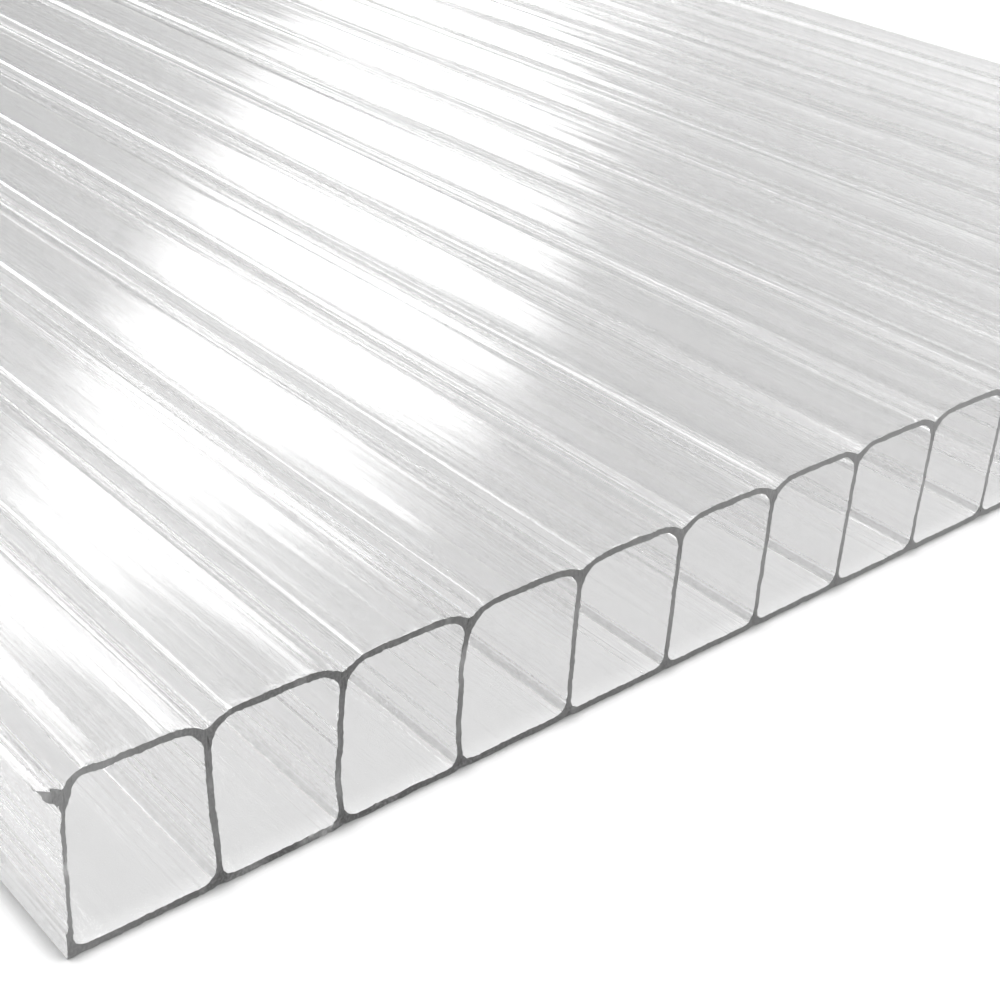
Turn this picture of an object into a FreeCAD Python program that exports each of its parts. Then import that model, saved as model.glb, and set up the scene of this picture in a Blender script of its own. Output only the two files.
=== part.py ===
import FreeCAD, Part
import os
from enum import IntEnum

import Sketcher

# Clear twin-wall polycarbonate sheet, sawn across its flutes at both ends.
# Millimetres, +Z up, flutes along Y, origin at the middle of the underside of its box.
# The sheet is one extrusion: a top skin and a base skin joined by upright ribs. Both skins
# are flat between the ribs and are drawn in to a valley at each rib, and the flutes have
# rounded corners that leave more material where a rib meets a skin. The sheet was ripped
# along its first rib, which still carries a stub of the next flute's top skin and stands
# square on the base skin.

# alias, value, what it measures
SIZES = (
    ("sheet_length", "300.0", "along the flutes, between the two sawn ends"),
    ("sheet_thickness", "10.0", "over the flat lands of both skins"),
    ("flute_count", "18", "whole flutes across the sheet"),
    ("rib_pitch", "7.5", "from the middle of one rib to the middle of the next"),
    ("rib_thickness", "0.35", "each upright rib"),
    ("top_skin", "0.4", "top skin at the flat lands"),
    ("base_skin", "0.42", "base skin at the flat lands"),
    ("top_corner_radius", "1.4", "inside a flute, between a rib and the top skin"),
    ("base_corner_radius", "0.7", "inside a flute, between a rib and the base skin"),
    ("top_valley_depth", "0.6", "top skin's valley over a rib, below the lands"),
    ("top_valley_reach", "1.8", "from the rib's middle to the edge of the land"),
    ("top_valley_round", "0.3", "radius at the bottom of the valley"),
    ("base_valley_depth", "0.1", "base skin's valley under a rib, above the lands"),
    ("base_valley_reach", "1.0", "from the rib's middle to the edge of the land"),
    ("base_valley_round", "0.4", "radius at the bottom of the valley"),
    ("stub_reach", "1.3", "torn stub of top skin, out from the first rib's middle"),
    ("cut_overshoot", "1.0", "how far a valley's cutter stands clear of the sheet"),
)

# Middle of the first rib, which puts the middle of the whole width at X = 0.
FIRST_RIB = "(sizes.stub_reach - sizes.rib_thickness / 2 - sizes.flute_count * sizes.rib_pitch) / 2"
SECOND_RIB = f"{FIRST_RIB} + sizes.rib_pitch"
# How many ribs the sheet has, and how many of them have a valley under them.
RIB_COUNT = "sizes.flute_count + 1"
INNER_RIB_COUNT = "sizes.flute_count"
# Outer faces of the first and the last rib, out from the first rib's middle.
HALF_RIB = "sizes.rib_thickness / 2"
LAST_FACE = "sizes.flute_count * sizes.rib_pitch + sizes.rib_thickness / 2"
# Inside of a flute: half its width, and the height of its roof.
HALF_FLUTE = "(sizes.rib_pitch - sizes.rib_thickness) / 2"
FLUTE_ROOF = "sizes.sheet_thickness - sizes.top_skin"
# Where the outline steps in under the stub; the flute's cut takes the step away.
STEP_HEIGHT = "sizes.sheet_thickness / 2"


class Spot(IntEnum):
    """Which point of a sketch line or arc a constraint takes hold of."""

    START = 1
    END = 2
    CENTRE = 3


class Axis(IntEnum):
    """A sketch's own axes, as a constraint names them."""

    ACROSS = -1
    UP = -2


ORIGIN = (Axis.ACROSS, Spot.START)


def make_size_sheet(doc):
    """Spreadsheet with one row for each driving size: name, value and meaning."""
    sheet = doc.addObject("Spreadsheet::Sheet", "sizes")
    for row, (alias, value, meaning) in enumerate(SIZES, start=1):
        sheet.set(f"A{row}", alias)
        sheet.set(f"B{row}", value)
        sheet.set(f"C{row}", meaning)
        sheet.setAlias(f"B{row}", alias)
    doc.recompute()
    return sheet


def origin_feature(body, role):
    """Plane or axis of the body's own origin."""
    return next(f for f in body.Origin.OriginFeatures if f.Role == role)


def section_sketch(body, name, middle, level="0", upside_down=False):
    """Empty sketch across the flutes, with its own origin at X = middle, Z = level."""
    sketch = body.newObject("Sketcher::SketchObject", name)
    sketch.AttachmentSupport = (origin_feature(body, "XZ_Plane"), [""])
    sketch.MapMode = "FlatFace"
    turn = FreeCAD.Rotation(FreeCAD.Vector(0, 0, 1), 180 if upside_down else 0)
    sketch.AttachmentOffset = FreeCAD.Placement(FreeCAD.Vector(0, 0, 0), turn)
    sketch.setExpression("AttachmentOffset.Base.x", middle)
    sketch.setExpression("AttachmentOffset.Base.y", level)
    return sketch


def number(sketch, formula):
    """Present value of a formula of the size sheet."""
    return float(sketch.evalExpression(formula))


def add_line(sketch, start, end):
    """Line from start to end, each (x, z); returns its index."""
    line = Part.LineSegment(FreeCAD.Vector(*start, 0), FreeCAD.Vector(*end, 0))
    return sketch.addGeometry(line, False)


def add_arc(sketch, centre, start, end):
    """Arc that runs anticlockwise from start to end about centre; returns its index."""
    hub = FreeCAD.Vector(*centre, 0)
    first = FreeCAD.Vector(*start, 0) - hub
    last = FreeCAD.Vector(*end, 0) - hub
    across = FreeCAD.Vector(1, 0, 0)
    up = FreeCAD.Vector(0, 0, 1)
    circle = Part.Circle(hub, up, first.Length)
    arc = Part.ArcOfCircle(circle, signed_angle(across, first), signed_angle(across, last))
    return sketch.addGeometry(arc, False)


def signed_angle(across, arm):
    """Angle from the sketch's X direction to arm, in radians, positive anticlockwise."""
    angle = across.getAngle(arm)
    return angle if arm.y >= 0 else -angle


def hold(sketch, kind, *places):
    """One geometric constraint, such as Tangent or Vertical."""
    return sketch.addConstraint(Sketcher.Constraint(kind, *places))


def hold_size(sketch, name, formula, kind, *places):
    """One named dimension, tied to a formula of the size sheet."""
    index = hold(sketch, kind, *places, number(sketch, formula))
    sketch.renameConstraint(index, name)
    sketch.setExpression(f"Constraints.{name}", formula)


def all_round(pieces):
    """Links from each piece's end to the next one's start, round a closed outline."""
    return [((a, Spot.END), (b, Spot.START)) for a, b in zip(pieces, pieces[1:] + pieces[:1])]


def join_chain(sketch, kind, links):
    """Constraint of one kind between the end of each link and the start of the next."""
    for (piece, place), (next_piece, next_place) in links:
        hold(sketch, kind, piece, place, next_piece, next_place)


def draw_blank(body):
    """Outline of the sheet's section with no flutes, drawn from the first rib's middle.

    Below mid-height the outline stops at the first rib's outer face. Above it, the outline
    runs on to the end of the stub.
    """
    sketch = section_sketch(body, "blank_outline", FIRST_RIB)
    right = number(sketch, LAST_FACE)
    rib_face = -number(sketch, HALF_RIB)
    left = -number(sketch, "sizes.stub_reach")
    top = number(sketch, "sizes.sheet_thickness")
    step = number(sketch, STEP_HEIGHT)
    corners = ((rib_face, 0), (right, 0), (right, top), (left, top), (left, step), (rib_face, step))
    sides = [add_line(sketch, a, b) for a, b in zip(corners, corners[1:] + corners[:1])]
    base, right_side, roof, stub_side, shelf, rib_side = sides
    join_chain(sketch, "Coincident", all_round(sides))
    for side in (base, roof, shelf):
        hold(sketch, "Horizontal", side)
    for side in (right_side, stub_side, rib_side):
        hold(sketch, "Vertical", side)
    hold(sketch, "PointOnObject", base, Spot.START, Axis.ACROSS)
    hold_size(sketch, "last_face", LAST_FACE, "DistanceX", *ORIGIN, base, Spot.END)
    hold_size(sketch, "rib_face", HALF_RIB, "DistanceX", base, Spot.START, *ORIGIN)
    hold_size(sketch, "stub_end", "sizes.stub_reach", "DistanceX", roof, Spot.END, *ORIGIN)
    hold_size(sketch, "thickness", "sizes.sheet_thickness", "DistanceY", *ORIGIN, roof, Spot.END)
    hold_size(sketch, "step_height", STEP_HEIGHT, "DistanceY", *ORIGIN, shelf, Spot.START)
    return sketch


def draw_flute(body):
    """Section of one flute, a rectangle with rounded corners, drawn from its own middle.

    It lies one pitch left of the first whole flute, so the first cut leaves the stub.
    """
    sketch = section_sketch(body, "flute_section", f"{FIRST_RIB} - sizes.rib_pitch / 2")
    side = number(sketch, HALF_FLUTE)
    floor = number(sketch, "sizes.base_skin")
    roof = number(sketch, FLUTE_ROOF)
    low = number(sketch, "sizes.base_corner_radius")
    high = number(sketch, "sizes.top_corner_radius")

    floor_line = add_line(sketch, (low - side, floor), (side - low, floor))
    low_right = add_arc(sketch, (side - low, floor + low), (side - low, floor), (side, floor + low))
    right_line = add_line(sketch, (side, floor + low), (side, roof - high))
    high_right = add_arc(sketch, (side - high, roof - high), (side, roof - high), (side - high, roof))
    roof_line = add_line(sketch, (side - high, roof), (high - side, roof))
    high_left = add_arc(sketch, (high - side, roof - high), (high - side, roof), (-side, roof - high))
    left_line = add_line(sketch, (-side, roof - high), (-side, floor + low))
    low_left = add_arc(sketch, (low - side, floor + low), (-side, floor + low), (low - side, floor))

    pieces = [floor_line, low_right, right_line, high_right, roof_line, high_left, left_line, low_left]
    join_chain(sketch, "Tangent", all_round(pieces))
    hold(sketch, "Horizontal", floor_line)
    hold(sketch, "Horizontal", roof_line)
    hold(sketch, "Vertical", right_line)
    hold(sketch, "Vertical", left_line)
    hold(sketch, "Symmetric", right_line, Spot.START, left_line, Spot.END, Axis.UP)
    hold(sketch, "Equal", high_right, high_left)
    hold_size(sketch, "half_width", HALF_FLUTE, "DistanceX", *ORIGIN, right_line, Spot.START)
    hold_size(sketch, "floor_height", "sizes.base_skin", "DistanceY", *ORIGIN, floor_line, Spot.END)
    hold_size(sketch, "roof_height", FLUTE_ROOF, "DistanceY", *ORIGIN, roof_line, Spot.START)
    hold_size(sketch, "low_radius", "sizes.base_corner_radius", "Radius", low_right)
    hold_size(sketch, "high_radius", "sizes.top_corner_radius", "Radius", high_right)
    return sketch


def draw_valley(body, skin, rib, level, upside_down):
    """Section of the valley over one rib, drawn from the point where rib and land would meet.

    Two shoulders leave the lands level and curve down to a small round at the bottom.
    skin is top or base, rib is the middle of the rib that the valley belongs to, and the
    base skin's valley is the same figure upside down.
    """
    depth_size = f"sizes.{skin}_valley_depth"
    reach_size = f"sizes.{skin}_valley_reach"
    round_size = f"sizes.{skin}_valley_round"
    sketch = section_sketch(body, f"{skin}_valley_section", rib, level, upside_down)
    depth = number(sketch, depth_size)
    reach = number(sketch, reach_size)
    bottom_radius = number(sketch, round_size)
    clear = number(sketch, "sizes.cut_overshoot")
    # Radius at which a shoulder touches both the land, level, and the round at the bottom.
    shoulder = (reach ** 2 + depth ** 2) / (2 * depth) - bottom_radius
    share = bottom_radius / (bottom_radius + shoulder)
    hub = (0, bottom_radius - depth)
    touch_x = reach * share
    touch_z = hub[1] + (-shoulder - hub[1]) * share

    left_shoulder = add_arc(sketch, (-reach, -shoulder), (-touch_x, touch_z), (-reach, 0))
    bottom = add_arc(sketch, hub, (-touch_x, touch_z), (touch_x, touch_z))
    right_shoulder = add_arc(sketch, (reach, -shoulder), (reach, 0), (touch_x, touch_z))
    right_wall = add_line(sketch, (reach, 0), (reach, clear))
    lid = add_line(sketch, (reach, clear), (-reach, clear))
    left_wall = add_line(sketch, (-reach, clear), (-reach, 0))
    lowest = sketch.addGeometry(Part.Point(FreeCAD.Vector(0, -depth, 0)), True)

    join_chain(sketch, "Tangent", [((left_shoulder, Spot.START), (bottom, Spot.START)),
                                   ((bottom, Spot.END), (right_shoulder, Spot.END))])
    join_chain(sketch, "Coincident", [((right_shoulder, Spot.START), (right_wall, Spot.START)),
                                      ((right_wall, Spot.END), (lid, Spot.START)),
                                      ((lid, Spot.END), (left_wall, Spot.START)),
                                      ((left_wall, Spot.END), (left_shoulder, Spot.END))])
    hold(sketch, "Vertical", right_wall)
    hold(sketch, "Symmetric", lid, Spot.START, lid, Spot.END, Axis.UP)
    hold(sketch, "Symmetric", right_wall, Spot.START, left_wall, Spot.END, Axis.UP)
    hold(sketch, "PointOnObject", right_wall, Spot.START, Axis.ACROSS)
    hold(sketch, "Vertical", left_shoulder, Spot.CENTRE, left_shoulder, Spot.END)
    hold(sketch, "Vertical", right_shoulder, Spot.CENTRE, right_shoulder, Spot.START)
    hold(sketch, "PointOnObject", bottom, Spot.CENTRE, Axis.UP)
    hold(sketch, "PointOnObject", lowest, Spot.START, Axis.UP)
    hold(sketch, "PointOnObject", lowest, Spot.START, bottom)
    hold_size(sketch, "reach", reach_size, "DistanceX", *ORIGIN, right_wall, Spot.START)
    hold_size(sketch, "depth", depth_size, "DistanceY", lowest, Spot.START, *ORIGIN)
    hold_size(sketch, "bottom_radius", round_size, "Radius", bottom)
    hold_size(sketch, "overshoot", "sizes.cut_overshoot",
              "DistanceY", right_wall, Spot.START, right_wall, Spot.END)
    return sketch


def check_sketch(sketch):
    """A sketch has to solve, with no freedom left and nothing said twice."""
    if sketch.solve() != 0 or sketch.DoF != 0:
        raise RuntimeError(f"{sketch.Name} isn't fully constrained")


def extrude_blank(body, sketch):
    """Pad of the outline, half the sheet's length to each side of the section plane."""
    pad = body.newObject("PartDesign::Pad", "blank")
    pad.Profile = sketch
    pad.SideType = "Symmetric"
    pad.setExpression("Length", "sizes.sheet_length")
    body.Tip = pad
    return pad


def cut_at_ribs(body, sketch, name, count):
    """Pocket through the whole length, repeated count times from one rib to the next."""
    pocket = body.newObject("PartDesign::Pocket", name)
    pocket.Profile = sketch
    pocket.Type = "ThroughAll"
    pocket.SideType = "Symmetric"
    body.Tip = pocket
    pattern = body.newObject("PartDesign::LinearPattern", f"{name}_row")
    pattern.Originals = [pocket]
    pattern.Direction = (origin_feature(body, "X_Axis"), [""])
    pattern.Mode = "Spacing"
    pattern.setExpression("Offset", "sizes.rib_pitch")
    pattern.setExpression("Occurrences", count)
    body.Tip = pattern
    return pocket, pattern


def make_sheet(doc):
    """The whole sheet as one body."""
    body = doc.addObject("PartDesign::Body", "twinwall_sheet")
    body.Label = "twinwall_sheet"
    steps = [extrude_blank(body, draw_blank(body))]
    top_valley = draw_valley(body, "top", FIRST_RIB, "sizes.sheet_thickness", False)
    base_valley = draw_valley(body, "base", SECOND_RIB, "0", True)
    steps += cut_at_ribs(body, draw_flute(body), "flute", RIB_COUNT)
    steps += cut_at_ribs(body, top_valley, "top_valley", RIB_COUNT)
    steps += cut_at_ribs(body, base_valley, "base_valley", INNER_RIB_COUNT)
    doc.recompute()
    for before, after in zip(steps, steps[1:]):
        if after.Shape.Volume >= before.Shape.Volume:
            raise RuntimeError(f"{after.Name} cuts nothing")
    return body


def check_document(doc, bodies):
    """Every object has to be sound, and every body one valid solid."""
    for item in doc.Objects:
        if "Invalid" in item.State or "Error" in item.State:
            raise RuntimeError(f"{item.Name} failed: {item.State}")
        if item.isDerivedFrom("Sketcher::SketchObject"):
            check_sketch(item)
    for body in bodies:
        shape = body.Shape
        if shape.isNull() or not shape.isValid() or len(shape.Solids) != 1:
            raise RuntimeError(f"{body.Label} isn't one valid solid")


def export(bodies):
    """Each body's shape as a STEP file with the name of its node."""
    os.makedirs("parts", exist_ok=True)
    for body in bodies:
        body.Shape.exportStep(f"parts/{body.Label}.step")
        box = body.Shape.BoundBox
        print(f"{body.Label}: volume {body.Shape.Volume:.1f} mm3, faces {len(body.Shape.Faces)}, "
              f"X {box.XMin:.3f} to {box.XMax:.3f}, Y {box.YMin:.3f} to {box.YMax:.3f}, "
              f"Z {box.ZMin:.3f} to {box.ZMax:.3f}")


document = FreeCAD.newDocument("twinwall")
make_size_sheet(document)
sheets = [make_sheet(document)]
check_document(document, sheets)
export(sheets)
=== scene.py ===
"""Looks of a clear twin-wall polycarbonate sheet that lies flat on a pale floor.

The sheet is drawn the way its die shapes it. The outline of one flute is drawn in the plane of the cut end
as extruded edges and spun arcs, bridged to a ring, and drawn out along the sheet. That flute is copied across,
the two edges of the sheet are drawn the same way, and all of it is welded into one clear body with sawn ends.
"""

import logging
import math
from dataclasses import dataclass, field
from enum import IntEnum
from typing import Callable, ClassVar

import bmesh
import bpy
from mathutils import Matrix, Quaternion, Vector


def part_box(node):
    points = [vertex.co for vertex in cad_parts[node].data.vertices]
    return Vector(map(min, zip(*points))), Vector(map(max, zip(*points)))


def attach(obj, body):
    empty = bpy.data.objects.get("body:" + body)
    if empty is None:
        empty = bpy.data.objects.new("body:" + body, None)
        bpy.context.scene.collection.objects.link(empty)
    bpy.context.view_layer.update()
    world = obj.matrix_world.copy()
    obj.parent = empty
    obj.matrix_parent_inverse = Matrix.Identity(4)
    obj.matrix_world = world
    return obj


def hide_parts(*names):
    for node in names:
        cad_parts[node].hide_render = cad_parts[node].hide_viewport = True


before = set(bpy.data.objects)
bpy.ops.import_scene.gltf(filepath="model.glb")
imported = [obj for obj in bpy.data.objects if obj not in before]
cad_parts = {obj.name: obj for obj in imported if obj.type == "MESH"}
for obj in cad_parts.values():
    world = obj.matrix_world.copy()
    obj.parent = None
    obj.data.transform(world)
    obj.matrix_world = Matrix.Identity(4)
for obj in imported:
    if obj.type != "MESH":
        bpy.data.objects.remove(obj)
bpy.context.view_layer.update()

NODE = "twinwall_sheet"
BODY = "root"
MM = 0.001
UP = Vector((0.0, 0.0, 1.0))
ALONG = Vector((0.0, 1.0, 0.0))
WELD = 0.002 * MM

log = logging.getLogger("scene")


class Finish(IntEnum):
    """The material slots of the sheet's mesh."""

    CLEAR = 0
    SAWN = 1


@dataclass(frozen=True)
class Stroke:
    """One stretch of a drawn outline: a straight run, or an arc about a centre.

    Args:
        parts: how many edges the stretch is drawn with.
        reach: the end of a straight run, as (across, up) from the outline's own zero.
        centre: the middle of an arc, as (across, up) from the outline's own zero.
        turn: how far an arc turns, in radians, clockwise as seen from the cut end.
    """

    parts: int
    reach: tuple[float, float] | None = None
    centre: tuple[float, float] | None = None
    turn: float = 0.0


def deselect_all() -> None:
    """Leaves object mode's selection empty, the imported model's nodes included."""
    if bpy.context.mode != "OBJECT":
        bpy.ops.object.mode_set(mode="OBJECT")
    bpy.ops.object.select_all(action="DESELECT")


def activate(piece: bpy.types.Object) -> None:
    """Makes the piece the only selected object and the active one.

    Args:
        piece: the object to work on.
    """
    deselect_all()
    piece.select_set(True)
    bpy.context.view_layer.objects.active = piece


def pick_points(piece: bpy.types.Object, test: Callable[[Vector], bool]) -> int:
    """Selects, in edit mode, the points whose place passes the test, and nothing else.

    Args:
        piece: the object in edit mode.
        test: says of a point's place whether it is wanted.

    Returns:
        How many points are now selected.
    """
    bpy.context.tool_settings.mesh_select_mode = (True, False, False)
    bpy.ops.mesh.select_all(action="DESELECT")
    mesh = bmesh.from_edit_mesh(piece.data)
    count = 0
    for vertex in mesh.verts:
        if test(vertex.co):
            vertex.select_set(True)
            count += 1
    mesh.select_flush(True)
    bmesh.update_edit_mesh(piece.data)
    return count


def pick_faces(piece: bpy.types.Object, test: Callable[[bmesh.types.BMFace], bool]) -> int:
    """Selects, in edit mode, the faces that pass the test, and nothing else.

    Args:
        piece: the object in edit mode.
        test: says of a face whether it is wanted.

    Returns:
        How many faces are now selected.
    """
    bpy.context.tool_settings.mesh_select_mode = (False, False, True)
    bpy.ops.mesh.select_all(action="DESELECT")
    mesh = bmesh.from_edit_mesh(piece.data)
    count = 0
    for face in mesh.faces:
        if test(face):
            face.select_set(True)
            count += 1
    bmesh.update_edit_mesh(piece.data)
    return count


def pick_long_edges(piece: bpy.types.Object, test: Callable[[Vector], bool], length: float) -> None:
    """Selects, in edit mode, the long edges whose two ends pass the test, and nothing else.

    Args:
        piece: the object in edit mode.
        test: says of an end's place whether it is wanted.
        length: an edge counts only if it is longer than this.
    """
    bpy.context.tool_settings.mesh_select_mode = (False, True, False)
    bpy.ops.mesh.select_all(action="DESELECT")
    mesh = bmesh.from_edit_mesh(piece.data)
    for edge in mesh.edges:
        if edge.calc_length() > length and all(test(vertex.co) for vertex in edge.verts):
            edge.select_set(True)
    bmesh.update_edit_mesh(piece.data)


class OutlinePen:
    """Draws closed outlines in the plane of the cut end, inside the active object in edit mode."""

    def __init__(self, zero: float, plane: float) -> None:
        """Keeps the outline's zero line and the plane it is drawn in.

        Args:
            zero: the X of the outline's own zero line.
            plane: the Y of the plane of the cut end.
        """
        self.zero = zero
        self.plane = plane

    def place(self, point: tuple[float, float]) -> Vector:
        """Gives the place of an (across, up) point.

        Args:
            point: across and up from the outline's own zero.

        Returns:
            The place in the sheet's frame.
        """
        return Vector((self.zero + point[0], self.plane, point[1]))

    def draw(self, start: tuple[float, float], strokes: list[Stroke]) -> None:
        """Draws one closed outline, and leaves all of it selected.

        Args:
            start: the first point, as (across, up).
            strokes: the stretches, in order, the last one ending at the first point.
        """
        bpy.ops.mesh.select_all(action="DESELECT")
        bpy.ops.mesh.primitive_plane_add(size=MM, location=self.place(start))
        bpy.ops.mesh.merge(type="CENTER")
        here = self.place(start)
        for stroke in strokes:
            if stroke.centre is None:
                step = (self.place(stroke.reach) - here) / stroke.parts
                for _ in range(stroke.parts):
                    bpy.ops.mesh.extrude_region_move(TRANSFORM_OT_translate={"value": step})
                here = self.place(stroke.reach)
            else:
                centre = self.place(stroke.centre)
                bpy.ops.mesh.spin(steps=stroke.parts, angle=-stroke.turn, center=centre, axis=ALONG)
                here = centre + Quaternion(ALONG, stroke.turn) @ (here - centre)
        bpy.ops.mesh.select_all(action="SELECT")
        bpy.ops.mesh.remove_doubles(threshold=WELD)


@dataclass(frozen=True)
class DieSection:
    """The section that the die gives the sheet, in metres.

    Args:
        thickness: from the floor to the crest of a flute.
        pitch: from the middle of one rib to the next.
        rib: thickness of a rib.
        top_skin: thickness of the upper skin at a crest.
        base_skin: thickness of the lower skin.
        top_corner: radius inside a flute under the upper skin.
        base_corner: radius inside a flute over the lower skin.
        valley_depth: how far the upper skin is drawn in over a rib.
        valley_reach: from a rib's middle to where the shoulder meets the crest.
        valley_round: radius at the bottom of that valley.
        base_depth: how far the lower skin is drawn in under a rib.
        base_reach: from a rib's middle to where that cusp meets the flat base.
        base_round: radius at the top of that cusp.
        crown: slope of a crest where it meets its shoulder, in radians.
        stub: how far the skin of the flute that was cut away still stands out past the first rib's middle.
    """

    thickness: float
    pitch: float = 7.5 * MM
    rib: float = 0.35 * MM
    top_skin: float = 0.4 * MM
    base_skin: float = 0.42 * MM
    top_corner: float = 1.4 * MM
    base_corner: float = 0.7 * MM
    valley_depth: float = 0.6 * MM
    valley_reach: float = 1.8 * MM
    valley_round: float = 0.3 * MM
    base_depth: float = 0.1 * MM
    base_reach: float = 1.0 * MM
    base_round: float = 0.4 * MM
    crown: float = math.radians(1.6)
    stub: float = 1.3 * MM

    @property
    def half_pitch(self) -> float:
        """Half the distance between two ribs."""
        return self.pitch / 2

    @property
    def half_flute(self) -> float:
        """Half the clear width of a flute."""
        return (self.pitch - self.rib) / 2

    @property
    def valley(self) -> float:
        """Height of the upper skin's valley."""
        return self.thickness - self.valley_depth

    @property
    def crest_radius(self) -> float:
        """Radius of the gentle crown of a crest."""
        return (self.half_pitch - self.valley_reach) / math.sin(self.crown)

    @property
    def shoulder_height(self) -> float:
        """Height at which a crest meets its shoulder."""
        return self.thickness - self.crest_radius * (1 - math.cos(self.crown))

    @property
    def shoulder_radius(self) -> float:
        """Radius of the shoulder that touches both the crest and the round of the valley."""
        drop = self.shoulder_height - self.valley - self.valley_round
        span = self.valley_reach**2 + drop**2 - self.valley_round**2
        lean = drop * math.cos(self.crown) - self.valley_reach * math.sin(self.crown)
        return span / (2 * (self.valley_round + lean))

    @property
    def shoulder_centre(self) -> tuple[float, float]:
        """Middle of a shoulder's arc, as (distance from the rib's middle, height)."""
        across = self.valley_reach + self.shoulder_radius * math.sin(self.crown)
        return across, self.shoulder_height - self.shoulder_radius * math.cos(self.crown)

    @property
    def valley_slope(self) -> float:
        """Steepest slope of the upper skin, in radians, where shoulder and valley meet."""
        across, up = self.shoulder_centre
        return math.atan2(across, self.valley + self.valley_round - up)

    @property
    def base_shoulder_radius(self) -> float:
        """Radius of the shoulder beside the cusp of the lower skin."""
        return (self.base_reach**2 + self.base_depth**2) / (2 * self.base_depth) - self.base_round

    @property
    def base_slope(self) -> float:
        """Steepest slope of the lower skin, in radians."""
        rise = self.base_shoulder_radius + self.base_round - self.base_depth
        return math.atan2(self.base_reach, rise)

    @property
    def roof_radius(self) -> float:
        """Radius of the crown inside a flute."""
        return self.crest_radius - self.top_skin

    @property
    def roof_slope(self) -> float:
        """Slope, in radians, where a flute's roof meets its corner."""
        return math.asin((self.half_flute - self.top_corner) / (self.roof_radius - self.top_corner))

    @property
    def roof_spring(self) -> float:
        """Height of the middles of a flute's upper corners."""
        drop = (self.roof_radius - self.top_corner) * math.cos(self.roof_slope)
        return self.thickness - self.top_skin - self.roof_radius + drop


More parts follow.
